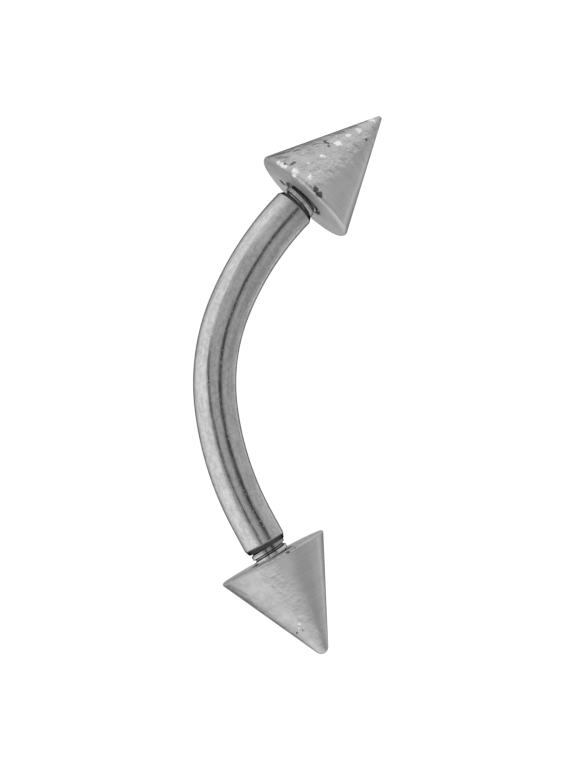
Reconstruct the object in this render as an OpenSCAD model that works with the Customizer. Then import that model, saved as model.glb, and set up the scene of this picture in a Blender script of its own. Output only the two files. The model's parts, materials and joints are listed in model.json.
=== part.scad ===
// Curved barbell for a brow piercing: a bent round bar with a threaded post at each end,
// and a screw-on cone spike on each post. Lengths are in millimetres, angles in degrees.
// It lies as it rests by itself on a flat surface, on the rims of both spikes and the
// belly of the bar. The upper spike is at -X, the lower one at +X, and both tips lean to +Y.

/* [Bar] */
// Diameter of the round bar
bar_d = 1.2; // [1.0:0.1:1.3]
// Bend radius in the middle of the bar, where it is bent tightest
middle_r = 5.6; // [5:0.1:7]
// Turn of that tighter bend
middle_turn = 29; // [20:1:35]
// Bend radius on both sides of the middle, where the bend is gentler
flank_r = 8.6; // [7:0.1:10]
// Turn of the gentler bend on each side
flank_turn = 21.7; // [18:0.1:24]
// Straight length between the bend and the shoulder at the upper spike
upper_straight = 0.28; // [0.2:0.01:2]
// Straight length between the bend and the shoulder at the lower spike
lower_straight = 0.85; // [0.2:0.01:2]
// Length of the taper that ends the bar at the upper spike's thread
upper_taper_l = 0.1; // [0.05:0.01:0.18]
// Length of the taper that ends the bar at the lower spike's thread
lower_taper_l = 0.15; // [0.05:0.01:0.18]
// How much the radius drops along each of these tapers
taper_drop = 0.06; // [0.02:0.01:0.06]

/* [Thread] */
// Distance from one thread ridge to the next
pitch = 0.2; // [0.15:0.05:0.25]
// Length of each threaded post, from the shoulder to its end
post_l = 1.6; // [1.2:0.05:1.6]
// How much smaller the thread's ridges are than the bar, on the radius
thread_relief = 0.09; // [0.06:0.01:0.12]
// Gap between the thread's ridges and the bore of a spike, on the radius
thread_gap = 0.03; // [0.02:0.01:0.06]

/* [Spikes] */
// Width of a spike's base, measured at the sharp corner before the rim is rounded
spike_d = 3.22; // [3.1:0.02:3.6]
// Height of a spike from its base to the sharp apex, before the tip is rounded
spike_h = 3.3; // [3.2:0.02:5]
// Depth of the bore in a spike, without its drilled point
bore_l = 1.5; // [1.4:0.05:1.6]
// Thread left showing between the shoulder and the upper spike
upper_neck = 0.21; // [0.2:0.01:0.6]
// Thread left showing between the shoulder and the lower spike
lower_neck = 0.32; // [0.2:0.01:0.6]
// Radius of the upper spike's rim
upper_rim_r = 0.1; // [0.03:0.01:0.2]
// Radius of the lower spike's rim
lower_rim_r = 0.05; // [0.03:0.01:0.2]
// Radius of the upper spike's tip
upper_tip_r = 0.08; // [0.04:0.01:0.25]
// Radius of the lower spike's tip
lower_tip_r = 0.2; // [0.04:0.01:0.25]

/* [Hidden] */
$fn = 96;

// The thread, in the usual shares of its pitch: a narrow flat on each ridge, a wider one at
// the bottom of each groove, and flanks that lean 30 degrees to the radius
bar_r = bar_d / 2;
ridge_r = bar_r - thread_relief;
ridge_w = pitch / 8;
groove_w = pitch / 4;
flank_w = (pitch - ridge_w - groove_w) / 2;
flank_lean = 30;
root_r = ridge_r - flank_w / tan(flank_lean);
ridges = floor(post_l / pitch);

// The bore of a spike: a countersunk mouth, and the point that the drill leaves at its end
bore_r = ridge_r + thread_gap;
mouth_l = 0.08;
mouth_r = bore_r + mouth_l;
drill_half_angle = 59;
drill_point_l = bore_r / tan(drill_half_angle);

// The bend, with the middle of the tighter arc at the origin and the bar running along X
half_middle = middle_turn / 2;
half_turn = half_middle + flank_turn;
middle_centre = [0, middle_r];
flank_centre = middle_centre + (flank_r - middle_r) * [-sin(half_middle), cos(half_middle)];
flank_end = flank_centre + flank_r * [sin(half_turn), -cos(half_turn)];
outward = [cos(half_turn), sin(half_turn)];

// Where each spike's base sits on the bar, and the straight line between the two bases
upper_seat = upper_straight + upper_neck;
lower_seat = lower_straight + lower_neck;
lower_base = flank_end + lower_seat * outward;
upper_end_base = flank_end + upper_seat * outward;
upper_base = [-upper_end_base.x, upper_end_base.y];
span = norm(lower_base - upper_base);
line_turn = atan2(lower_base.y - upper_base.y, lower_base.x - upper_base.x);
upper_lean = half_turn + line_turn;
lower_lean = half_turn - line_turn;

// The cone: the circle round which a rim is rounded, and the height of the tip's centre
half_apex = atan(spike_d / 2 / spike_h);
half_rim_angle = (90 - half_apex) / 2;
function rim_circle_r(rim_r) = spike_d / 2 - rim_r / tan(half_rim_angle);
function tip_centre_h(tip_r) = spike_h - tip_r / sin(half_apex);

// How deep a rim reaches below its spike's base centre when the bar's plane is tilted
function rise(lean, tilt) = sin(lean) * sin(tilt);
function rim_drop(rim_r, axis_rise) =
    rim_r * (1 - axis_rise) + rim_circle_r(rim_r) * sqrt(1 - axis_rise ^ 2);
function upper_drop(tilt) = rim_drop(upper_rim_r, rise(upper_lean, tilt));
function lower_drop(tilt) = rim_drop(lower_rim_r, rise(lower_lean, tilt));

// The belly is the point of the bar farthest from the line between the two bases
belly = middle_centre + middle_r * [sin(line_turn), -cos(line_turn)];
belly_from_line = rotated(belly).y;
belly_share = rotated(belly).x / span;

// The rest: the plane of the bar tilts until the belly is as low as the two rims, and
// rolls a little, because the two rims are rounded to different sizes
function settle(tilt, passes) =
    passes == 0 ? tilt :
    settle(asin(min(1, (belly_drop(tilt) - bar_r) / -belly_from_line)), passes - 1);
function belly_drop(tilt) =
    upper_drop(tilt) * (1 - belly_share) + lower_drop(tilt) * belly_share;
first_guess = 25;
rest_tilt = settle(first_guess, 8);
rest_roll = -asin((lower_drop(rest_tilt) - upper_drop(rest_tilt)) / span);

// A point of the bar's plane, first with the line between the bases along X, then at rest
function rotated(p) =
    let (q = p - upper_base)
    [q.x * cos(line_turn) + q.y * sin(line_turn), q.y * cos(line_turn) - q.x * sin(line_turn)];
function at_rest(p) =
    let (q = rotated(p), up = q.y * sin(rest_tilt))
    [q.x * cos(rest_roll) + up * sin(rest_roll), q.y * cos(rest_tilt)];
upper_tip = at_rest(upper_base + tip_centre_h(upper_tip_r) * [-outward.x, outward.y]);
lower_tip = at_rest(lower_base + tip_centre_h(lower_tip_r) * outward);
low_x = upper_tip.x - upper_tip_r;
high_x = lower_tip.x + lower_tip_r;
low_y = at_rest(belly).y - bar_r;
high_y = max(upper_tip.y + upper_tip_r, lower_tip.y + lower_tip_r);
upper_base_at = [-(low_x + high_x) / 2, -(low_y + high_y) / 2, upper_drop(rest_tilt)];

// The gentler stretches are drawn a hair finer and pass this far into their neighbours, so
// that the stretches of the bar join inside each other and not along a shared surface
lap_l = 0.05;
lap_clearance = 0.002;
flank_wire_r = bar_r - lap_clearance;
lap_turn = lap_l / flank_r * 180 / PI;

// Points of an arc, from one angle to another
function arc(centre, r, from, to, steps) =
    [for (i = [0:steps]) let (a = from + (to - from) * i / steps) centre + r * [cos(a), sin(a)]];

// Lays what is modelled in the bar's own plane down as it rests
module resting() {
    translate(upper_base_at)
        rotate([rest_tilt, rest_roll, 0])
            rotate([0, 0, -line_turn])
                translate([-upper_base.x, -upper_base.y, 0])
                    children();
}

// Stands something on the end of the bend, with its Z axis along the straight end
module on_lower_end(distance) {
    translate(flank_end + distance * outward)
        rotate([0, 90, half_turn])
            children();
}

module on_upper_end(distance) {
    mirror([1, 0, 0])
        on_lower_end(distance)
            children();
}

// An arc of round wire, from one bearing of the bend to another
module bent_wire(wire_r, centre, bend_r, from, to) {
    translate(centre)
        rotate_extrude(angle = to - from, start = from - 90)
            translate([bend_r, 0])
                circle(r = wire_r);
}

// A straight stretch of bar, the taper that ends it, and the post with its ridges
module threaded_end(straight, taper_l) {
    ridge = [
        [root_r, groove_w],
        [ridge_r, groove_w + flank_w],
        [ridge_r, groove_w + flank_w + ridge_w],
        [root_r, pitch]
    ];
    rotate_extrude()
        polygon(concat(
            [[0, 0], [bar_r, 0], [bar_r, straight - taper_l]],
            [[bar_r - taper_drop, straight], [root_r, straight]],
            [for (i = [0:ridges - 1], corner = ridge) corner + [0, straight + i * pitch]],
            [[root_r, straight + post_l], [0, straight + post_l]]
        ));
}

module spike(rim_r, tip_r) {
    rotate_extrude()
        polygon(concat(
            [[mouth_r, 0]],
            arc([rim_circle_r(rim_r), rim_r], rim_r, -90, half_apex, 10),
            arc([0, tip_centre_h(tip_r)], tip_r, half_apex, 90, 8),
            [[0, bore_l + drill_point_l], [bore_r, bore_l], [bore_r, mouth_l]]
        ));
}

module bar() {
    color("silver")
        resting() {
            bent_wire(bar_r, middle_centre, middle_r, -half_middle, half_middle);
            for (side = [0, 1])
                mirror([side, 0, 0])
                    bent_wire(flank_wire_r, flank_centre, flank_r,
                        half_middle - lap_turn, half_turn + lap_turn);
            on_upper_end(0)
                threaded_end(upper_straight, upper_taper_l);
            on_lower_end(0)
                threaded_end(lower_straight, lower_taper_l);
        }
}

module upper_spike() {
    color("darkgray")
        resting()
            on_upper_end(upper_seat)
                spike(upper_rim_r, upper_tip_r);
}

module lower_spike() {
    color("darkgray")
        resting()
            on_lower_end(lower_seat)
                spike(lower_rim_r, lower_tip_r);
}

bar();
upper_spike();
lower_spike();
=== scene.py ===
# %% [markdown]
# # A curved barbell for a brow piercing
#
# The barbell is a bent round bar with a thread at each end, and a cone spike is screwed on
# each thread. All of it is bare steel, so the work is in two places: clean turned and bent
# shapes, and a light that gives bare metal something to reflect.

import json
import math

import bmesh
import bpy
from mathutils import Matrix, Vector


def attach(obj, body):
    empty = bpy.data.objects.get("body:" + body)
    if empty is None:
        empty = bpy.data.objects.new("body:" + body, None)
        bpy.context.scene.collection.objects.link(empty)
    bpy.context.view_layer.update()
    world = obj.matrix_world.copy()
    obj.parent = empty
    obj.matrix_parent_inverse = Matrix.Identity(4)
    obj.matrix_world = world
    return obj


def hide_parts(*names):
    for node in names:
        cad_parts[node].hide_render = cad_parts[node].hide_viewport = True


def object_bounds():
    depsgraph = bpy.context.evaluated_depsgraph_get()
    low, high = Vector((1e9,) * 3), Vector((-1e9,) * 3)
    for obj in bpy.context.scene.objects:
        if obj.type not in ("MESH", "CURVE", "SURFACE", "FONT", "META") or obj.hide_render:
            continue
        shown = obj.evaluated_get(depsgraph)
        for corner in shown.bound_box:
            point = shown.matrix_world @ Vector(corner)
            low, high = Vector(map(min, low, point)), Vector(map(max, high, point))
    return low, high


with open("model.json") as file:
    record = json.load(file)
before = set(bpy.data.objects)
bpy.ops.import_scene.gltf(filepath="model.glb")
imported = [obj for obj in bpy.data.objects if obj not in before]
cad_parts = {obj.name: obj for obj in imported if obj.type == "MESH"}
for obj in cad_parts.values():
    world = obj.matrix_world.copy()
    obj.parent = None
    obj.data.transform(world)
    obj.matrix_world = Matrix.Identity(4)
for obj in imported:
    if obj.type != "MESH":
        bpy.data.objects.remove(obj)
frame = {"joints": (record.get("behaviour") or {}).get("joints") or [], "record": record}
cad_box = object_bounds()

# %% [markdown]
# ## Where the bar lies
#
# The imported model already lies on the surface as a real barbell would. Its two joint axes
# run out along the two threads, and the piercing mount is the middle of the bend, so these
# three give the plane that the bar is bent in. Everything is modelled flat in that plane, in
# millimetres as on a workshop drawing, and one matrix then lays it down in metres.

# %% The bar's plane
axes = {joint["name"]: Vector(joint["axis"]).normalized() for joint in frame["joints"]}
outward_upper = axes["upper_spike_off"]
outward_lower = axes["lower_spike_off"]
along = (outward_lower - outward_upper).normalized()
inward = (outward_lower + outward_upper).normalized()
across = along.cross(inward)
middle_of_bend = Vector(frame["record"]["mounts"][0]["pos_m"])

MM = 0.001
lay_down = Matrix.Translation(middle_of_bend) @ Matrix((along, inward, across)).transposed().to_4x4()
lay_down = lay_down @ Matrix.Scale(MM, 4)
half_turn = along.angle(outward_lower)
print("each end of the bar turns", round(math.degrees(half_turn), 2), "degrees")

# %% [markdown]
# ## The bend
#
# The bar is bent tightest in the middle and opens out towards its ends. One arc would be
# too round at the ends and too flat in the middle, so there are three that run into each
# other: a tight one, and a gentler one on each side. A short straight stretch ends each side.
#
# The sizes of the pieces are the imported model's, in millimetres, with two differences. The
# shoulder at the upper spike lies 0.07 mm farther back, so that as much thread shows there
# as on the real bar, and the threads have their own form, which is described with them.

# %% Sizes of the bend
BAR_R = 0.6
MIDDLE_R = 5.6
HALF_MIDDLE = math.radians(14.5)
FLANK_R = 8.6
STRAIGHT = {"upper": 0.21, "lower": 0.85}

flank_turn = half_turn - HALF_MIDDLE
half_bend_l = MIDDLE_R * HALF_MIDDLE + FLANK_R * flank_turn
middle_centre = Vector((0, MIDDLE_R, 0))
to_flank_centre = Vector((-math.sin(HALF_MIDDLE), math.cos(HALF_MIDDLE), 0))
flank_centre = middle_centre + (FLANK_R - MIDDLE_R) * to_flank_centre
flank_end = flank_centre + FLANK_R * Vector((math.sin(half_turn), -math.cos(half_turn), 0))
outward = Vector((math.cos(half_turn), math.sin(half_turn), 0))
print("half of the bend is", round(half_bend_l, 3), "mm long and ends at", [round(v, 3) for v in flank_end])

# %% [markdown]
# ## Threads
#
# A thread is one groove that winds round a post. Rings would be easier, but a real helix
# catches the light a little differently on each side, and it costs little: one pitch of
# the outline is spun once round the post and moved up by a pitch on the way. Copies of that
# turn meet exactly, so merging them closes the surface, and two cuts bring it to length.
# The same function cuts the thread inside a spike, with the radii the other way round.
#
# The crests are wide and the root is shallow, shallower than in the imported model, because
# that is how the short necks of thread look on the real bar.

# %% The outline of a thread
PITCH = 0.2
RIDGE_R = 0.51
ROOT_R = 0.441
CREST_W = 0.5 * PITCH
ROOT_W = 0.1 * PITCH
FLANK_W = (PITCH - ROOT_W - CREST_W) / 2
FLANK_STEPS = 3


def thread_outline(low_r, high_r):
    """One pitch of thread as (radius, height): a root, a flank, a crest and a flank."""
    rising = [(low_r + (high_r - low_r) * k / FLANK_STEPS, ROOT_W + FLANK_W * k / FLANK_STEPS)
              for k in range(FLANK_STEPS + 1)]
    falling = [(r, 2 * (ROOT_W + FLANK_W) + CREST_W - h) for r, h in reversed(rising)]
    return [(low_r, 0)] + rising + falling


print("the thread is", round(RIDGE_R - ROOT_R, 3), "mm deep, with a pitch of", PITCH, "mm")

# %% A helper that turns a thread
ROUND = 144
SPARE_TURNS = 3
TINY = 1e-4
TINIER = TINY / 10


def cut_to_length(bm, length):
    """Cuts off what lies below height 0 and above the length."""
    for height, side in ((0, -1), (length, 1)):
        bmesh.ops.bisect_plane(bm, geom=bm.verts[:] + bm.edges[:] + bm.faces[:], dist=TINIER,
                               plane_co=(0, 0, height), plane_no=(0, 0, side), clear_outer=True)
    bmesh.ops.remove_doubles(bm, verts=bm.verts, dist=TINIER)


def turned_thread(root_r, crest_r, length, begin):
    """A thread along Z, as an open tube. begin shifts it along by a share of a pitch."""
    bm = bmesh.new()
    start = -PITCH * (1 + begin)
    outline = [bm.verts.new((r, 0, start + h)) for r, h in thread_outline(root_r, crest_r)]
    edges = [bm.edges.new(pair) for pair in zip(outline, outline[1:])]
    bmesh.ops.spin(bm, geom=outline + edges, cent=(0, 0, 0), axis=(0, 0, 1),
                   dvec=(0, 0, PITCH / ROUND), angle=2 * math.pi, steps=ROUND, use_duplicate=False)
    one_turn = bm.verts[:] + bm.edges[:] + bm.faces[:]
    for k in range(1, math.ceil(length / PITCH) + SPARE_TURNS):
        copy = bmesh.ops.duplicate(bm, geom=one_turn)["geom"]
        copied = [g for g in copy if isinstance(g, bmesh.types.BMVert)]
        bmesh.ops.translate(bm, vec=(0, 0, k * PITCH), verts=copied)
    bmesh.ops.remove_doubles(bm, verts=bm.verts, dist=TINY)
    cut_to_length(bm, length)
    return bm


# %% [markdown]
# ## Ends of turned pieces
#
# A turned piece is cut back where its thread begins and ends: a post gets a lead-in and a
# hole gets a countersunk mouth. Both are made by moving points straight towards the axis or
# away from it, which is what a tool does on a lathe. Flat ends are filled between the open
# loops that lie there, so two rings of different sizes close into a flat shoulder.

# %% Helpers for the ends


def turned_to(bm, radius_at):
    """Moves every point to the radius that radius_at(its radius, its height) gives."""
    for vert in bm.verts:
        r = math.hypot(vert.co.x, vert.co.y)
        size = radius_at(r, vert.co.z) / r
        vert.co.x *= size
        vert.co.y *= size


def open_loops(bm, height):
    """The open edges that lie at a height along Z."""
    return [e for e in bm.edges if len(e.link_faces) < 2
            and all(abs(v.co.z - height) < TINY for v in e.verts)]


def close_flat(bm, height):
    """Closes a flat end at a height along Z, where one or two open loops lie."""
    bmesh.ops.triangle_fill(bm, use_beauty=True, use_dissolve=False, normal=(0, 0, 1),
                            edges=open_loops(bm, height))


# %% [markdown]
# ## The bar
#
# A real bar is a length of round wire, turned down and threaded at its ends and then bent.
# Here one ring of points stands in the middle of the bend. It is spun along the tight arc
# and along the gentle one, once to each side, and then pushed out along the straight
# stretch and drawn in for the taper. The threaded posts are turned on their own and set on.

# %% Sweeping and pushing a ring of the wire
DEGREES_A_STEP = 0.75


def spun(bm, ring, centre, turn):
    """Sweeps a ring of edges round a centre in the bar's plane."""
    steps = max(1, round(abs(math.degrees(turn)) / DEGREES_A_STEP))
    return bmesh.ops.spin(bm, geom=ring, cent=centre, axis=(0, 0, 1), angle=turn, steps=steps,
                          use_duplicate=False)["geom_last"]


def pushed(bm, ring, way, size=1.0):
    """Extrudes a ring of edges by a vector, and makes it smaller about its own centre."""
    edges = [g for g in ring if isinstance(g, bmesh.types.BMEdge)]
    made = bmesh.ops.extrude_edge_only(bm, edges=edges)["geom"]
    verts = [g for g in made if isinstance(g, bmesh.types.BMVert)]
    bmesh.ops.translate(bm, vec=way, verts=verts)
    centre = sum((v.co for v in verts), Vector()) / len(verts)
    bmesh.ops.scale(bm, vec=(size,) * 3, space=Matrix.Translation(-centre), verts=verts)
    return verts + [g for g in made if isinstance(g, bmesh.types.BMEdge) and len(g.link_faces) == 1]


# %% The threaded posts
POST_L = 1.6
LEAD_IN = 0.1
THREAD_BEGIN = {"upper": 0.39, "lower": 0.75}
TAPER_L = {"upper": 0.1, "lower": 0.15}
TAPER_DROP = 0.06


def threaded_post(end):
    """The post with its thread, from the shoulder to its flat end, standing along Z."""
    bm = turned_thread(ROOT_R, RIDGE_R, POST_L, THREAD_BEGIN[end])
    lead_in_slope = (RIDGE_R - ROOT_R) / LEAD_IN
    turned_to(bm, lambda r, h: min(r, ROOT_R + max(0, POST_L - h) * lead_in_slope))
    bmesh.ops.create_circle(bm, cap_ends=False, radius=BAR_R - TAPER_DROP, segments=ROUND)
    close_flat(bm, 0)
    close_flat(bm, POST_L)
    return bm


def end_frame(end, distance):
    """A frame whose Z axis runs out of an end of the bar, with its origin that far past the bend."""
    place = Matrix.Translation(flank_end + distance * outward)
    place = place @ Matrix.Rotation(half_turn, 4, "Z") @ Matrix.Rotation(math.pi / 2, 4, "Y")
    return Matrix.Scale(-1, 4, (1, 0, 0)) @ place if end == "upper" else place


# %% The whole bar


def add(bm, part, place):
    """Adds one bmesh to another, placed by a matrix."""
    bmesh.ops.transform(part, matrix=place, verts=part.verts)
    carrier = bpy.data.meshes.new("carrier")
    part.to_mesh(carrier)
    part.free()
    bm.from_mesh(carrier)
    bpy.data.meshes.remove(carrier)


def bent_bar():
    """The bent wire from the middle out to both shoulders, with a post set on each."""
    bm = bmesh.new()
    turned = Matrix.Rotation(math.pi / 2, 4, "Y")
    bmesh.ops.create_circle(bm, cap_ends=False, radius=BAR_R, segments=ROUND, matrix=turned)
    first = bm.verts[:] + bm.edges[:]
    for end, side in (("upper", -1), ("lower", 1)):
        mirrored = Vector((side, 1, 1))
        ring = spun(bm, first, middle_centre, side * HALF_MIDDLE)
        ring = spun(bm, ring, flank_centre * mirrored, side * flank_turn)
        ring = pushed(bm, ring, (STRAIGHT[end] - TAPER_L[end]) * outward * mirrored)
        pushed(bm, ring, TAPER_L[end] * outward * mirrored, 1 - TAPER_DROP / BAR_R)
    for end in ("upper", "lower"):
        add(bm, threaded_post(end), end_frame(end, STRAIGHT[end]))
    bmesh.ops.remove_doubles(bm, verts=bm.verts, dist=TINY)
    bmesh.ops.recalc_face_normals(bm, faces=bm.faces)
    return bm


# %% [markdown]
# ## A straight copy for the finish
#
# Polishing marks run along the wire and follow its bend. To draw them, each point of the
# bar also keeps the place that it would have if the bar were bent straight again: its
# distance along the bar, and its place across it. The material reads that place.

# %% Where a point would be on the straight bar


def unbent(p):
    """The place of a point on the straightened bar: along it, across it in the plane, and out of it."""
    side = -1 if p.x < 0 else 1
    q = Vector((p.x * side, p.y, 0))
    bearing = math.atan2(q.x, MIDDLE_R - q.y)
    if bearing < HALF_MIDDLE:
        distance = MIDDLE_R * bearing
        inside = MIDDLE_R - (q - middle_centre).length
    else:
        from_flank = q - flank_centre
        bearing = math.atan2(from_flank.x, -from_flank.y)
        if bearing < half_turn:
            distance = MIDDLE_R * HALF_MIDDLE + FLANK_R * (bearing - HALF_MIDDLE)
            inside = FLANK_R - from_flank.length
        else:
            distance = half_bend_l + (q - flank_end).dot(outward)
            inside = (q - flank_end).dot(Vector((-outward.y, outward.x, 0)))
    return Vector((distance * side, inside, p.z))


# %% [markdown]
# ## From a worked shape to a finished piece
#
# Every piece leaves the workshop in the same way. The place of each point on the worked
# piece is kept as an attribute, the piece is laid down in metres, and its faces are shaded
# smooth. Only edges that turn by more than 18 degrees stay sharp: the tapers and shoulders,
# the threads and the mouths of the holes. A smooth shoulder would look like soft wax.

# %% Finishing a piece
SHARP_TURN = math.radians(18)


def finished(bm, name, worked, place):
    """Makes the object, with worked(point) kept on every point, and lays it down in metres."""
    mesh = bpy.data.meshes.new(name)
    marks = [value for vert in bm.verts for value in worked(vert.co)]
    bmesh.ops.transform(bm, matrix=place, verts=bm.verts)
    if place.determinant() < 0:
        bmesh.ops.reverse_faces(bm, faces=bm.faces)
    bm.to_mesh(mesh)
    open_edges = sum(1 for e in bm.edges if len(e.link_faces) != 2)
    print(name, "has", len(mesh.polygons), "faces and", open_edges, "edges that aren't between two faces")
    bm.free()
    mesh.attributes.new("worked", "FLOAT_VECTOR", "POINT").data.foreach_set("vector", marks)
    mesh.shade_smooth()
    mesh.set_sharp_from_angle(angle=SHARP_TURN)
    piece = bpy.data.objects.new(name, mesh)
    bpy.context.collection.objects.link(piece)
    return piece


barbell_bar = finished(bent_bar(), "barbell_bar", unbent, lay_down)

# %% [markdown]
# ## The spikes
#
# A spike is turned on a lathe: a cone with a small rounding at its rim and at its tip, and
# from the back a countersunk, threaded, drilled hole. So it is spun from one outline, and
# the hole's thread comes from the same helper as the bar's. The points of a thread don't
# line up with those of a plain ring, so a hair of room is left between the two, which keeps
# them from being merged by halves, and a flat filling closes it.

# %% The outside of a spike
SPIKE_R = 1.61
SPIKE_H = 3.3
RIM_R = {"upper": 0.1, "lower": 0.05}
TIP_R = {"upper": 0.08, "lower": 0.2}
MOUTH_R = 0.62
RIM_STEPS = 10
TIP_STEPS = 8
HAIR = 5 * TINY
half_apex = math.atan(SPIKE_R / SPIKE_H)
print("the spikes' full apex angle is", round(math.degrees(2 * half_apex), 1), "degrees")


def arc(centre_r, centre_h, radius, begin, end, steps):
    """Points of an arc of the outline, between two directions in radians."""
    angles = [begin + (end - begin) * k / steps for k in range(steps + 1)]
    return [(centre_r + radius * math.cos(a), centre_h + radius * math.sin(a)) for a in angles]


def spike_outline(end):
    """From the mouth of the hole round the rim and up the side to the tip, as (radius, height)."""
    rim_r, tip_r = RIM_R[end], TIP_R[end]
    rim_centre_r = SPIKE_R - rim_r / math.tan((math.pi / 2 - half_apex) / 2)
    tip_centre_h = SPIKE_H - tip_r / math.sin(half_apex)
    rim = arc(rim_centre_r, rim_r, rim_r, -math.pi / 2, half_apex, RIM_STEPS)
    tip = arc(0, tip_centre_h, tip_r, half_apex, math.pi / 2, TIP_STEPS)
    return [(MOUTH_R + HAIR, 0)] + rim + tip


# %% The hole of a spike
BORE_R = 0.54
BORE_L = 1.5
DRILL_HALF_ANGLE = math.radians(59)


def spun_round(bm, verts):
    """Spins a chain of points all the way round Z."""
    edges = [bm.edges.new(pair) for pair in zip(verts, verts[1:])]
    bmesh.ops.spin(bm, geom=verts + edges, cent=(0, 0, 0), axis=(0, 0, 1), angle=2 * math.pi,
                   steps=ROUND, use_merge=True, use_duplicate=False)


def threaded_bore():
    """The hole of a spike: a countersunk mouth, a thread and the drill's point."""
    bm = turned_thread(MOUTH_R, BORE_R, BORE_L, 0)
    turned_to(bm, lambda r, h: max(r, MOUTH_R - h))
    drill_r = BORE_R - HAIR
    point = (0, 0, BORE_L + drill_r / math.tan(DRILL_HALF_ANGLE))
    spun_round(bm, [bm.verts.new(point), bm.verts.new((drill_r, 0, BORE_L))])
    bmesh.ops.remove_doubles(bm, verts=bm.verts, dist=TINIER)
    close_flat(bm, BORE_L)
    return bm


# %% Both spikes on their posts
NECK = {"upper": 0.28, "lower": 0.32}


def spike(end):
    """A whole spike, with its base at the origin and its tip up Z."""
    bm = bmesh.new()
    spun_round(bm, [bm.verts.new((r, 0, h)) for r, h in spike_outline(end)])
    add(bm, threaded_bore(), Matrix())
    bmesh.ops.remove_doubles(bm, verts=bm.verts, dist=TINY)
    close_flat(bm, 0)
    bmesh.ops.recalc_face_normals(bm, faces=bm.faces)
    return bm


def spike_piece(end):
    """A spike on its post. The finish reads the spike's own frame, before it is laid down."""
    place = lay_down @ end_frame(end, STRAIGHT[end] + NECK[end])
    return finished(spike(end), end + "_cone", lambda p: p.copy(), place)


upper_cone = spike_piece("upper")
lower_cone = spike_piece("lower")

# %% [markdown]
# ## Which body carries each piece
#
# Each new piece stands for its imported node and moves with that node's body.

# %% Bodies, nodes and slots
for piece, node, slot in ((barbell_bar, "bar", "bar_steel"),
                          (upper_cone, "upper_spike", "spike_steel"),
                          (lower_cone, "lower_spike", "spike_steel")):
    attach(piece, node)
    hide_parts(node)

# %% [markdown]
# ## Finishes
#
# Steel has almost no colour of its own. What tells polished wire from a turned cone is how
# sharply it reflects and which way its fine marks run: along the wire, and round the cone.
# Both finishes are built from the same few nodes: noise that is stretched one way for the
# marks, soft noise for uneven polish, and small pits.

# %% Helpers that add nodes


def grey(level):
    """A grey colour."""
    return level, level, level, 1


def added(tree, kind, label, **settings):
    """Adds a node and sets its properties and its unlinked inputs."""
    made = tree.nodes.new(kind)
    made.label = label
    for name, value in settings.items():
        if name in made.inputs:
            made.inputs[name].default_value = value
        else:
            setattr(made, name, value)
    return made


def noise(tree, place, label, scale, detail, roughness):
    """Noise from 0 to 1. Most of it lies near the middle of that range."""
    made = added(tree, "ShaderNodeTexNoise", label, Scale=scale, Detail=detail, Roughness=roughness)
    tree.links.new(place, made.inputs["Vector"])
    return made.outputs["Fac"]


def stretched(tree, place, label, stretch):
    """The place on the worked piece, stretched so that noise becomes marks."""
    mapping = added(tree, "ShaderNodeMapping", label, Scale=stretch)
    tree.links.new(place, mapping.inputs["Vector"])
    return mapping.outputs["Vector"]


# %% Helpers that work with values


def ranged(tree, value, label, reach, to=(0.0, 1.0)):
    """Brings a value from the range reach to the range to, softly, and holds it outside."""
    made = added(tree, "ShaderNodeMapRange", label, interpolation_type="SMOOTHSTEP")
    for name, number in zip(("From Min", "From Max", "To Min", "To Max"), (*reach, *to)):
        made.inputs[name].default_value = number
    tree.links.new(value, made.inputs["Value"])
    return made.outputs["Result"]


def combined(tree, operation, label, a, b):
    """Arithmetic on two values, of which either may be a plain number."""
    made = added(tree, "ShaderNodeMath", label, operation=operation)
    for socket, value in zip(made.inputs, (a, b)):
        if isinstance(value, (int, float)):
            socket.default_value = value
        else:
            tree.links.new(value, socket)
    return made.outputs["Value"]


def times(tree, label, a, b):
    """Two values multiplied."""
    return combined(tree, "MULTIPLY", label, a, b)


def blended(tree, label, a, share_a, b, share_b):
    """Two values added in given shares."""
    return combined(tree, "ADD", label, times(tree, "share", a, share_a), times(tree, "share", b, share_b))


def distance_from_axis(tree, place, label, flat):
    """How far a place lies from an axis: flat keeps the two directions across that axis."""
    across_it = added(tree, "ShaderNodeVectorMath", label, operation="MULTIPLY")
    across_it.inputs[1].default_value = flat
    tree.links.new(place, across_it.inputs[0])
    length = added(tree, "ShaderNodeVectorMath", label, operation="LENGTH")
    tree.links.new(across_it.outputs["Vector"], length.inputs[0])
    return length.outputs["Value"]


def separated(tree, place, label, axis):
    """One of the three parts of a place, by the name of its axis."""
    parts = added(tree, "ShaderNodeSeparateXYZ", label)
    tree.links.new(place, parts.inputs["Vector"])
    return parts.outputs[axis]


# %% [markdown]
# ## Bare steel, and what lies on it
#
# A metal shader takes its brightness from its base colour, so a plain grey sets the tone of
# the steel, and a second tint sets how bright it gets where it turns away. Dirt and painted
# shade aren't layers of their own: the dirt is so thin here that the base colour is simply
# mixed towards a dark grey, and painted shade darkens it the same way, while painted
# highlights mix it towards a light grey or white. Fine relief is a chain of bumps, one on top
# of another. Marks this small would need millions of faces in the mesh, and the outline of the
# real piece stays clean where they are.

# %% Helpers for steel
MIX_SHARE, MIX_A, MIX_B, MIX_RESULT = 0, 6, 7, 2
# A dark grey for dirt and for painted shade.
GRIME_AND_SHADE = grey(0.08)
WHITE = grey(1)


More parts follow.
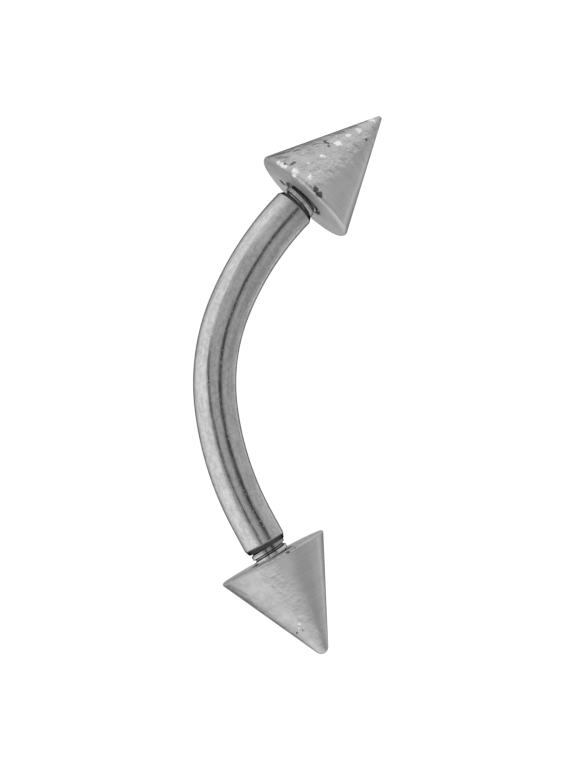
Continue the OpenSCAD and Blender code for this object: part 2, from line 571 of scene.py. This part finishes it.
def bare_steel(name, dark, light, tint_at_edge):
    """A new steel material, its shader, the place on the worked piece, and a socket for its tone."""
    material = bpy.data.materials.new(name)
    material.use_nodes = True
    tree = material.node_tree
    tree.nodes.clear()
    out = added(tree, "ShaderNodeOutputMaterial", "surface")
    shader = added(tree, "ShaderNodeBsdfPrincipled", "steel", Metallic=1.0)
    shader.inputs["Specular Tint"].default_value = grey(tint_at_edge)
    tree.links.new(shader.outputs["BSDF"], out.inputs["Surface"])
    place = added(tree, "ShaderNodeAttribute", "place on the worked piece", attribute_name="worked")
    tone = added(tree, "ShaderNodeMix", "steel tone", data_type="RGBA")
    tone.inputs[MIX_A].default_value = grey(dark)
    tone.inputs[MIX_B].default_value = grey(light)
    tree.links.new(tone.outputs[MIX_RESULT], shader.inputs["Base Color"])
    return material, shader, place.outputs["Vector"], tone.inputs[MIX_SHARE]


def covered(tree, shader, label, share, colour=GRIME_AND_SHADE):
    """Covers the steel with a colour where share is 1, over whatever colour it has."""
    cover = added(tree, "ShaderNodeMix", label, data_type="RGBA")
    under = shader.inputs["Base Color"].links[0].from_socket
    tree.links.new(share, cover.inputs[MIX_SHARE])
    tree.links.new(under, cover.inputs[MIX_A])
    cover.inputs[MIX_B].default_value = colour
    tree.links.new(cover.outputs[MIX_RESULT], shader.inputs["Base Color"])


def in_relief(tree, shader, layers):
    """Presses layers of (label, height, depth in millimetres) in, each on top of the last one."""
    under = None
    for label, height, depth in layers:
        bump = added(tree, "ShaderNodeBump", label, Distance=depth * MM)
        tree.links.new(height, bump.inputs["Height"])
        if under is not None:
            tree.links.new(under, bump.inputs["Normal"])
        under = bump.outputs["Normal"]
    tree.links.new(under, shader.inputs["Normal"])


# %% [markdown]
# ## The bar's polish
#
# Wire is polished along its length. That leaves faint streaks and hair lines along the bar,
# slow waves where the wheel pressed harder, and a few pits that it didn't reach. Each is one
# noise, stretched along the straight copy of the bar. They change the tone, the sharpness
# of the reflection and the relief together, because on real steel they are one mark.

# %% Polish on the wire
USUAL_NOISE = (0.3, 0.7)


def polish(tree, shader, place, tone):
    """Streaks, hair lines, waves and pits. Gives how worn each place is."""
    streaks = noise(tree, stretched(tree, place, "along the bar", (0.5, 7, 7)),
                    "polishing streaks", scale=3.0, detail=6.0, roughness=0.6)
    hairs = noise(tree, stretched(tree, place, "fine, along the bar", (1.0, 30, 30)),
                  "hair lines", scale=2.5, detail=3.0, roughness=0.6)
    waves = noise(tree, stretched(tree, place, "waves", (1.0, 1.6, 1.6)),
                  "uneven polish", scale=1.6, detail=3.0, roughness=0.5)
    grain = noise(tree, place, "grain", scale=9.0, detail=2.0, roughness=0.6)
    specks = noise(tree, place, "fine pits", scale=14.0, detail=2.0, roughness=0.5)
    pits = ranged(tree, specks, "pits", (0.60, 0.72))
    worn = blended(tree, "streaks and waves", streaks, 0.6, waves, 0.4)
    with_grain = blended(tree, "with grain", worn, 0.6, grain, 0.4)
    tree.links.new(ranged(tree, with_grain, "tone", (0.38, 0.62)), tone)
    rough = ranged(tree, worn, "roughness", USUAL_NOISE, to=(0.10, 0.17))
    tree.links.new(blended(tree, "rougher pits", rough, 1.0, pits, 0.2), shader.inputs["Roughness"])
    in_relief(tree, shader, (
        ("wave depth", waves, 0.008),
        ("streak depth", streaks, 0.002),
        ("hair line depth", hairs, 0.0005),
        ("pit depth", combined(tree, "SUBTRACT", "pits go in", 1.0, pits), 0.001)))
    return worn


# %% [markdown]
# ## Painted shade and highlights on the threads
#
# The base colour is darkened as painted shade where the bar lies in shade: the grooves, the
# tapers behind the threads and the first ridge of the lower one. The crests are lightened as
# a painted highlight. The distance from the bar's axis tells these places apart, because a
# groove, a crest, a taper and the bar each have their own radius, so no mask has to be
# painted. Each pair of radii says where one of them fades into the next.

# %% Painted shade and highlights on the threads
GROOVES = (ROOT_R + 0.01, RIDGE_R - 0.015)
CRESTS = (RIDGE_R - 0.015, RIDGE_R - 0.002)
PAST_THE_CRESTS = (RIDGE_R + 0.005, RIDGE_R + 0.02)
OFF_THE_THREAD = (RIDGE_R + 0.012, RIDGE_R + 0.03)
TURNED_DOWN = (BAR_R - 0.018, BAR_R - 0.003)
GROOVE_SHADE = 0.35
CREST_HIGHLIGHT = 0.6
TAPER_SHADE = 0.93


def thread_shade_and_highlights(tree, shader, depth):
    """Grooves darkened as painted shade and crests lightened as a painted highlight, by the distance from
    the bar's axis.
    """
    # Painted shade: the grooves are darkened.
    grooves = ranged(tree, depth, "in the grooves", GROOVES, to=(GROOVE_SHADE, 0.0))
    covered(tree, shader, "painted shade in the grooves", grooves)
    # Painted highlight: the crests are lightened towards a light grey.
    crests = ranged(tree, depth, "up on the crests", CRESTS, to=(0.0, CREST_HIGHLIGHT))
    not_higher = ranged(tree, depth, "no higher", PAST_THE_CRESTS, to=(1.0, 0.0))
    covered(tree, shader, "painted highlight on the crests", times(tree, "crests", crests, not_higher), grey(0.85))


def taper_shade(tree, shader, depth):
    """A band of painted shade where the bar is drawn in behind each thread."""
    # Painted shade: the tapers behind the threads are darkened.
    off_the_thread = ranged(tree, depth, "wider than the crests", OFF_THE_THREAD, to=(0.0, TAPER_SHADE))
    turned_down = ranged(tree, depth, "thinner than the bar", TURNED_DOWN, to=(1.0, 0.0))
    covered(tree, shader, "painted shade on the tapers", times(tree, "painted shade and grime", off_the_thread, turned_down))


# %% The first ridge of the lower thread, darkened as painted shade
FIRST_RIDGE_SHADE = 0.6
lower_shoulder = half_bend_l + STRAIGHT["lower"]
print("the lower shoulder lies", round(lower_shoulder, 3), "mm along the bar from its middle")


def first_ridge_shade(tree, shader, lengthways):
    """Painted shade on the ridge next to the lower shoulder, by the distance along the bar."""
    # Painted shade: the first ridge of the lower thread is darkened.
    past = ranged(tree, lengthways, "past the lower shoulder",
                  (lower_shoulder - 0.01, lower_shoulder), to=(0.0, FIRST_RIDGE_SHADE))
    first = ranged(tree, lengthways, "no farther",
                   (lower_shoulder + 0.07, lower_shoulder + 0.15), to=(1.0, 0.0))
    covered(tree, shader, "painted shade on the first ridge", times(tree, "painted shade and grime", past, first))


# %% [markdown]
# ## The stain at the upper end
#
# The bar is a little tarnished near the upper spike. The stain comes in slowly along the bar
# and breaks into patches where the polish is worn, and it stops at the thread. A painted
# picture could do the same, but the worn places are already at hand.

# %% Stain, and the whole finish of the bar
STAIN = 0.28
STAIN_BEGINS, STAIN_IS_FULL = 4.1, 4.8


def end_stain(tree, shader, depth, lengthways, worn):
    """Patchy tarnish on the bar near its upper end."""
    towards_upper = times(tree, "towards the upper end", lengthways, -1.0)
    stain = ranged(tree, towards_upper, "stain at the upper end",
                   (STAIN_BEGINS, STAIN_IS_FULL), to=(0.0, STAIN))
    stain = times(tree, "stain on the bar", stain, ranged(tree, depth, "not on the thread", OFF_THE_THREAD))
    patches = ranged(tree, worn, "patches", (0.3, 0.6), to=(0.5, 1.0))
    covered(tree, shader, "stain", times(tree, "broken up", stain, patches))


def polished_wire():
    """The bar's steel: bright, streaked along its length, and with painted shade and highlights at its
    threads.
    """
    material, shader, place, tone = bare_steel("bar_steel", dark=0.46, light=0.63, tint_at_edge=0.12)
    tree = material.node_tree
    depth = distance_from_axis(tree, place, "distance from the bar's axis", (0, 1, 1))
    lengthways = separated(tree, place, "place along the bar", "X")
    worn = polish(tree, shader, place, tone)
    thread_shade_and_highlights(tree, shader, depth)
    first_ridge_shade(tree, shader, lengthways)
    taper_shade(tree, shader, depth)
    end_stain(tree, shader, depth, lengthways, worn)
    return material


barbell_bar.data.materials.append(polished_wire())
print("the bar's finish has", len(barbell_bar.data.materials[0].node_tree.nodes), "nodes")

# %% [markdown]
# ## The cones' turned surface
#
# A cone comes off the lathe with fine rings round it and a satin shine, duller than polished
# wire. The rings are noise stretched flat round the cone's axis. On one side both cones are
# knocked and dented, and that side's base colour is also darkened as painted shade; the upper
# one has it worse.

# %% Turning marks, and knocks and painted shade on one side
WEAR_AND_SHADE = {
    "upper": {"knock_depth": 0.09, "knocked_and_shaded_side": (-0.3, -0.95, 0.35), "shade_strength": 0.26},
    "lower": {"knock_depth": 0.035, "knocked_and_shaded_side": (-0.1, -1.0, 0.35), "shade_strength": 0.24},
}
PATCHINESS = 0.07


def turning_marks(tree, place, tone):
    """Rings round the cone and soft clouds. Gives the rings, the clouds and the roughness."""
    rings = noise(tree, stretched(tree, place, "round the cone", (0.25, 0.25, 14)),
                  "turning marks", scale=2.0, detail=5.0, roughness=0.6)
    cloud = noise(tree, place, "uneven satin", scale=1.4, detail=3.0, roughness=0.5)
    worn = blended(tree, "marks and clouds", rings, 0.4, cloud, 0.6)
    tree.links.new(ranged(tree, worn, "tone", (0.35, 0.65)), tone)
    return rings, cloud, ranged(tree, worn, "roughness", USUAL_NOISE, to=(0.22, 0.30))


def knocks_and_side_shade(tree, place, wear):
    """Dents on one side, and how much each place of that side is darkened as painted shade."""
    side = added(tree, "ShaderNodeVectorMath", "towards the dented, shaded side", operation="DOT_PRODUCT")
    side.inputs[1].default_value = wear["knocked_and_shaded_side"]
    tree.links.new(place, side.inputs[0])
    towards = side.outputs["Value"]
    blows = noise(tree, place, "knocks", scale=4.0, detail=4.0, roughness=0.55)
    dents = times(tree, "knocks on that side", blows,
                  ranged(tree, towards, "knocks reach farther", (0.1, 0.9)))
    # Painted shade: one side of the cone is darkened, in patches.
    patches = ranged(tree, blows, "patchy", (0.35, 0.65),
                     to=(wear["shade_strength"] - PATCHINESS, wear["shade_strength"] + PATCHINESS))
    painted_shade_side = times(tree, "painted shade on one side", ranged(tree, towards, "on the painted-shade side", (0.5, 1.4)), patches)
    return dents, painted_shade_side


# %% [markdown]
# ## Nicks and dark marks
#
# The real cones have single nicks and dark specks that one would know them by, so these are
# placed one by one and not left to noise. Some of the dark marks are specks of dirt; those
# beside the scrape on the upper rim are painted shadow, and the one on the upper base is partly
# painted shade. Each is a ball round a point on or near the surface, in the cone's own frame:
# the base is at height 0 and the tip is up. Bright ones are smoother and pressed in a little,
# and their white base colour is a painted glint. Noise shifts the place before it is measured,
# so that the balls come out ragged and don't look like dots.

# %% Helpers for nicks
RAGGED_SCALE = 7.0
RAGGED_SIZE = 0.2


def ragged(tree, place, label):
    """The place, shifted a little by noise, so that round spots get uneven edges."""
    cloud = added(tree, "ShaderNodeTexNoise", label, Scale=RAGGED_SCALE, Detail=2.0)
    tree.links.new(place, cloud.inputs["Vector"])
    centred = added(tree, "ShaderNodeVectorMath", label, operation="SUBTRACT")
    tree.links.new(cloud.outputs["Color"], centred.inputs[0])
    centred.inputs[1].default_value = (0.5,) * 3
    shifted = added(tree, "ShaderNodeVectorMath", label, operation="MULTIPLY_ADD")
    tree.links.new(centred.outputs["Vector"], shifted.inputs[0])
    shifted.inputs[1].default_value = (RAGGED_SIZE,) * 3
    tree.links.new(place, shifted.inputs[2])
    return shifted.outputs["Vector"]


def spots(tree, place, label, points):
    """1 at each point (x, y, height, radius) and 0 outside its radius."""
    total = None
    for *centre, radius in points:
        far = added(tree, "ShaderNodeVectorMath", label, operation="DISTANCE")
        far.inputs[1].default_value = centre
        tree.links.new(place, far.inputs[0])
        spot = ranged(tree, far.outputs["Value"], label, (radius * 0.5, radius), to=(1.0, 0.0))
        total = spot if total is None else combined(tree, "MAXIMUM", label, total, spot)
    return total


# %% Where the nicks are: x, y, height and radius in millimetres
# Nicks are pressed in as bumps; their white base colour is a painted glint.
GLINTING_SCRAPE_ON_THE_UPPER_RIM = (
    (-0.89, -1.25, 0.05, 0.08), (-0.94, -1.22, 0.06, 0.08), (-0.99, -1.18, 0.07, 0.08),
    (-1.05, -1.13, 0.08, 0.08), (-1.11, -1.08, 0.09, 0.08), (-1.16, -1.02, 0.10, 0.07))
BROAD_GLINTING_NICKS_BY_THE_UPPER_RIM = (
    (-1.34, -0.76, 0.15, 0.15), (-1.36, -0.72, 0.05, 0.10), (-1.41, -0.36, 0.31, 0.12))
GLINTING_NICKS_UP_THE_UPPER_SIDE = (
    (-0.97, -0.50, 1.05, 0.08), (-0.69, -0.41, 1.66, 0.13), (-0.50, -0.34, 2.06, 0.11),
    (-0.37, -0.23, 2.42, 0.12), (-0.13, -0.13, 2.93, 0.09))
SMALL_GLINTING_NICKS_ON_THE_UPPER_SIDE = (
    (-1.15, -0.64, 0.61, 0.06), (-0.77, -0.07, 1.72, 0.05), (-0.44, -0.55, 1.85, 0.06),
    (-1.00, -0.46, 1.03, 0.05))
GLINTING_NICKS_ON_THE_LOWER_RIM = ((-1.50, 0.30, 0.02, 0.06), (-1.49, -0.10, 0.02, 0.05))
GLINTING_NICKS_ON_THE_LOWER_SIDE = ((-0.58, -0.32, 1.94, 0.06), (-0.47, -0.39, 2.06, 0.05))
NICKS_WITH_PAINTED_GLINTS = {
    "upper": (*GLINTING_SCRAPE_ON_THE_UPPER_RIM, *BROAD_GLINTING_NICKS_BY_THE_UPPER_RIM,
              *GLINTING_NICKS_UP_THE_UPPER_SIDE, *SMALL_GLINTING_NICKS_ON_THE_UPPER_SIDE),
    "lower": (*GLINTING_NICKS_ON_THE_LOWER_RIM, *GLINTING_NICKS_ON_THE_LOWER_SIDE),
}
print("nicks with painted glints:", {end: len(nicks) for end, nicks in NICKS_WITH_PAINTED_GLINTS.items()})

# %% Where the dark marks are: x, y, height and radius in millimetres
DIRT_ON_THE_UPPER_RIM = ((-1.55, 0.15, 0.11, 0.13), (-1.54, -0.01, 0.15, 0.10))
# Painted shadow: dark spots beside the bright scrape.
PAINTED_SHADOW_BESIDE_THE_SCRAPE = (
    (-1.09, -1.10, 0.13, 0.05), (-1.13, -1.06, 0.15, 0.05), (-1.16, -1.02, 0.17, 0.06),
    (-1.17, -0.98, 0.21, 0.06), (-1.14, -0.94, 0.28, 0.06), (-1.10, -0.93, 0.35, 0.07))
SCRATCH_ON_THE_UPPER_SIDE = (
    (-0.57, -0.68, 1.48, 0.07), (-0.65, -0.62, 1.46, 0.06), (-0.73, -0.55, 1.43, 0.06))
SPECK_ON_THE_UPPER_SIDE = ((-0.44, 0.13, 2.36, 0.06),)
# Partly painted shade and partly dirt, on the base beside the post.
PAINTED_SHADE_AND_DIRT_ON_THE_UPPER_BASE = ((0.44, -0.70, 0.00, 0.17),)
DIRT_ALONG_THE_LOWER_RIM = (
    (-1.53, -0.33, -0.04, 0.08), (-1.55, -0.22, -0.04, 0.08), (-1.56, 0.00, -0.04, 0.08),
    (-1.56, 0.20, -0.02, 0.09), (-1.54, 0.33, -0.04, 0.08), (-1.50, 0.45, -0.03, 0.09))
SPECKS_NEAR_THE_LOWER_TIP = ((-0.46, -0.32, 2.15, 0.05), (-0.31, -0.46, 2.16, 0.05))
DARK_MARKS = {
    "upper": (*DIRT_ON_THE_UPPER_RIM, *PAINTED_SHADOW_BESIDE_THE_SCRAPE, *SCRATCH_ON_THE_UPPER_SIDE,
              *SPECK_ON_THE_UPPER_SIDE, *PAINTED_SHADE_AND_DIRT_ON_THE_UPPER_BASE),
    "lower": (*DIRT_ALONG_THE_LOWER_RIM, *SPECKS_NEAR_THE_LOWER_TIP),
}
print("dark marks:", {end: len(marks) for end, marks in DARK_MARKS.items()})

# %% [markdown]
# ## The whole finish of a cone
#
# What lies on the steel is laid on in the order in which it would show: nicks with a painted
# glint first, then the side darkened as painted shade, then single dark marks, and last the
# darkening round the mouth of the hole, painted shade and partly dirt.
# The flat base reflects less sharply than the side.

# %% Finish of the cones
BASE_FADES = (0.02, 0.11)
ROUGHER_BASE = 0.32
SMOOTHER_NICKS = -0.1
DARK_MARK = 0.9
MOUTH_SHADE_AND_DIRT = 0.7
MOUTH_DARKENING_W = 0.06


def turned_cone(end):
    """A spike's steel: satin, with turning marks, knocks and painted shade on one side, nicks with a
    painted glint, and dark marks, some of them painted shadow.
    """
    material, shader, place, tone = bare_steel(
        end + "_cone_steel", dark=0.55, light=0.64, tint_at_edge=0.18)
    tree = material.node_tree
    rings, cloud, rough = turning_marks(tree, place, tone)
    dents, painted_shade_side = knocks_and_side_shade(tree, place, WEAR_AND_SHADE[end])
    uneven = ragged(tree, place, "uneven edges")
    nicks = spots(tree, uneven, "nicks with painted glints", NICKS_WITH_PAINTED_GLINTS[end])
    marks = spots(tree, uneven, "dark marks", DARK_MARKS[end])
    on_base = ranged(tree, separated(tree, place, "height", "Z"), "only on the base",
                     BASE_FADES, to=(1.0, 0.0))
    from_axis = distance_from_axis(tree, place, "distance from the spike's axis", (1, 1, 0))
    # Painted shade, partly dirt: the base is darkened round the mouth of the hole, where the post goes in.
    mouth = ranged(tree, from_axis, "round the mouth",
                   (MOUTH_R, MOUTH_R + MOUTH_DARKENING_W), to=(MOUTH_SHADE_AND_DIRT, 0.0))

    # Painted glints: the nicks' base colour is white.
    covered(tree, shader, "nicks with painted glints", nicks, WHITE)
    # One side of the cone is darkened as painted shade.
    covered(tree, shader, "painted shade on one side", painted_shade_side)
    # The dark marks beside the scrape are painted shadow, and the one on the upper base is partly painted
    # shade.
    covered(tree, shader, "dark marks", times(tree, "not quite black", marks, DARK_MARK))
    # The mouth of the hole is darkened: painted shade, partly dirt.
    covered(tree, shader, "painted shade and dirt round the mouth", times(tree, "painted shade and grime", mouth, on_base))

    rough = blended(tree, "rougher base", rough, 1.0, on_base, ROUGHER_BASE)
    rough = blended(tree, "smooth nicks", rough, 1.0, nicks, SMOOTHER_NICKS)
    tree.links.new(rough, shader.inputs["Roughness"])
    in_relief(tree, shader, (
        ("cloud depth", cloud, 0.006),
        ("ring depth", rings, 0.0006),
        ("knock depth", dents, WEAR_AND_SHADE[end]["knock_depth"]),
        ("nick depth", combined(tree, "SUBTRACT", "nicks go in", 1.0, nicks), 0.012)))
    return material


for cone, end in ((upper_cone, "upper"), (lower_cone, "lower")):
    cone.data.materials.append(turned_cone(end))
    print(cone.name, "has a finish of", len(cone.data.materials[0].node_tree.nodes), "nodes")

# %% [markdown]
# ## The camera
#
# The barbell lies almost flat to a camera that looks steeply down on it from a distance, so
# the long lens keeps both spikes the same size. The camera is turned on its side, because
# the picture is upright and the barbell's long side runs up it.

# %% The camera
AIM = Vector((0.174, 0.298, 1.555))
VIEW_AZIMUTH = math.radians(7.05)
VIEW_ELEVATION = math.radians(54.77)
VIEW_TURN = math.radians(89.34)
VIEW_DISTANCE = 166.4
LENS = 281.25
SENSOR_W = 36
NEAREST_M, FARTHEST_M = 0.005, 20

camera = bpy.data.objects.new("camera", bpy.data.cameras.new("camera"))
bpy.context.collection.objects.link(camera)
turn = Matrix.Rotation(VIEW_AZIMUTH, 3, "Z") @ Matrix.Rotation(math.pi / 2 - VIEW_ELEVATION, 3, "X")
turn = turn @ Matrix.Rotation(VIEW_TURN, 3, "Z")
camera.rotation_euler = turn.to_euler()
camera.location = (AIM + VIEW_DISTANCE * turn.col[2]) * MM
camera.data.sensor_width = SENSOR_W
camera.data.lens = LENS
camera.data.clip_start = NEAREST_M
camera.data.clip_end = FARTHEST_M
bpy.context.scene.camera = camera
picture_right, picture_up, to_camera = turn.col
print("the camera is", round(VIEW_DISTANCE), "mm away, looking", [round(-v, 3) for v in to_camera])

# %% [markdown]
# ## The light
#
# Polished metal shows nothing but its surroundings, so the surroundings are designed: an
# even pale tent, a brighter panel on the left of the camera, and dark strips that draw the
# long dark lines on the bar. They are fixed in the room and don't move with the view.
# Lamps alone wouldn't do, because each would show in the metal as a patch of its own.

# %% Helpers for the tent
world = bpy.data.worlds.new("tent")
bpy.context.scene.world = world
world.use_nodes = True
sky = world.node_tree
sky.nodes.clear()
looking = added(sky, "ShaderNodeTexCoord", "direction looked in").outputs["Generated"]


def seen_at(right, up, towards):
    """A direction in the room, from where it lies as the camera sees it at rest."""
    return (right * picture_right + up * picture_up + towards * to_camera).normalized()


def share_along(direction, label):
    """How far towards a direction something lies, from -1 behind to 1 right there."""
    share = added(sky, "ShaderNodeVectorMath", label, operation="DOT_PRODUCT")
    sky.links.new(looking, share.inputs[0])
    share.inputs[1].default_value = direction
    return share.outputs["Value"]


# %% [markdown]
# ## Bright panels
#
# Each panel adds its brightness to the even tent, where its mask is 1. The panel on the left
# is for the bar. It leaves out the directions beyond the barbell's two ends, which have
# panels of their own, because the cones mirror those and the bar hardly does.

# %% The tent and its panels
TENT = 0.55
LEFT_EDGE = seen_at(-0.768, -0.210, -0.605)
UP = Vector((0, 0, 1))
ENDWAYS = Vector((1, 0, 0))

low = ranged(sky, share_along(UP, "height"), "low down", (0.1, 0.45), to=(1.0, 0.0))
either_end = combined(sky, "ABSOLUTE", "either end", share_along(ENDWAYS, "endways"), 0.0)
beyond_ends = ranged(sky, either_end, "beyond the ends", (0.35, 0.80))
beside = combined(sky, "SUBTRACT", "beside", 1.0, beyond_ends)
on_the_left = ranged(sky, share_along(LEFT_EDGE, "the left"), "left of an edge", (-0.05, 0.05))

walls = TENT
for label, mask, brightness in (
        ("panel on the left", times(sky, "on the left", on_the_left, beside), 0.42),
        ("low panel", low, 0.06),
        ("panels beyond the ends", beyond_ends, 0.31),
        ("low, beyond the ends", times(sky, "low and beyond", low, beyond_ends), 0.12)):
    walls = combined(sky, "ADD", "with the panel", walls, times(sky, label, mask, brightness))
print("the tent is", TENT, "bright between its panels")

# %% [markdown]
# ## Dark strips
#
# A photographer hangs black strips in a tent, because metal without anything dark to mirror
# looks like grey plastic. A strip is a band of directions: all those whose share along the
# strip's own direction is near one value. On the camera's side of the room two strips draw
# the two dark lines along the bar, and a wide, faint one lies beside the right one.

# %% The strips
RIGHT_STRIP = seen_at(0.784, -0.498, -0.371)
LEFT_STRIP = seen_at(-0.589, -0.756, -0.285)
near_camera = ranged(sky, share_along(to_camera, "near the camera"), "near the camera", (0.58, 0.78))


def strip(direction, at, half_width, darkness):
    """What is left of the light: less where the share along a direction is at, near the camera."""
    off = combined(sky, "SUBTRACT", "from the strip", share_along(direction, "across the strip"), at)
    off = combined(sky, "ABSOLUTE", "either side", off, 0.0)
    shade = ranged(sky, off, "strip", (0.0, half_width), to=(darkness, 0.0))
    return combined(sky, "SUBTRACT", "what is left", 1.0, times(sky, "only near", shade, near_camera))


for direction, at, half_width, darkness in ((RIGHT_STRIP, 0.0, 0.26, 0.90),
                                            (RIGHT_STRIP, 0.30, 0.30, 0.18),
                                            (LEFT_STRIP, 0.0, 0.14, 0.85)):
    walls = times(sky, "with the strip", walls, strip(direction, at, half_width, darkness))
    print("a strip takes away", darkness, "of the light, over", half_width, "to each side")

# %% [markdown]
# ## A dim corner, and what other views see
#
# One corner of the room, high up on the side away from the camera, is a little dimmer than
# the rest. Metal that faces almost straight up mirrors it. The strips and panels would show
# as a strange pattern behind the barbell in a low view, so the camera itself sees a plain
# pale wall. The tent still gives the light, and still shows in the metal.

# %% The dim corner and the wall
DIM_CORNER = Vector((0.21, 0.69, 0.69))
CORNER_LIGHT = 0.80
PALE_WALL = grey(0.9)

corner = ranged(sky, share_along(DIM_CORNER, "the dim corner"), "a dim corner",
                (0.88, 0.99), to=(1.0, CORNER_LIGHT))
walls = times(sky, "with the dim corner", walls, corner)

tent = added(sky, "ShaderNodeBackground", "tent")
plain = added(sky, "ShaderNodeBackground", "what a side view sees", Color=PALE_WALL)
either = added(sky, "ShaderNodeMixShader", "tent, or plain wall")
surroundings = added(sky, "ShaderNodeOutputWorld", "surroundings")
sky.links.new(walls, tent.inputs["Color"])
sky.links.new(added(sky, "ShaderNodeLightPath", "ray").outputs["Is Camera Ray"], either.inputs["Fac"])
sky.links.new(tent.outputs["Background"], either.inputs[1])
sky.links.new(plain.outputs["Background"], either.inputs[2])
sky.links.new(either.outputs["Shader"], surroundings.inputs["Surface"])
print("the surroundings have", len(sky.nodes), "nodes")

# %% [markdown]
# ## The floor
#
# The barbell lies on a sheet of white paper. Paper lit by the tent alone would come out
# grey, so the sheet glows a little, as it does when it is also lit from behind. The glow
# is kept low enough that the barbell still has a soft shadow where it touches.

# %% The floor
FLOOR_HALF = 0.6
floor_mesh = bpy.data.meshes.new("floor")
bm = bmesh.new()
bmesh.ops.create_grid(bm, x_segments=1, y_segments=1, size=FLOOR_HALF)
bmesh.ops.translate(bm, vec=(0, 0, cad_box[0].z), verts=bm.verts)
bm.to_mesh(floor_mesh)
bm.free()
floor = bpy.data.objects.new("floor", floor_mesh)
bpy.context.collection.objects.link(floor)

# %% The paper
PAPER = {"Base Color": grey(0.42), "Roughness": 0.9, "Specular IOR Level": 0.1,
         "Emission Color": WHITE, "Emission Strength": 0.84}
paper = bpy.data.materials.new("white_paper")
paper.use_nodes = True
sheet = paper.node_tree.nodes["Principled BSDF"]
for name, value in PAPER.items():
    sheet.inputs[name].default_value = value
floor.data.materials.append(paper)
print("the floor lies at height", round(cad_box[0].z, 6), "m")

# %% [markdown]
# ## Tones
#
# The standard view keeps white paper white. A film-like view would turn it grey.

# %% Tones and the last measurements
bpy.context.scene.view_settings.view_transform = "Standard"
for piece in (barbell_bar, upper_cone, lower_cone):
    piece.data.calc_loop_triangles()
    print(piece.name, len(piece.data.loop_triangles), "triangles")
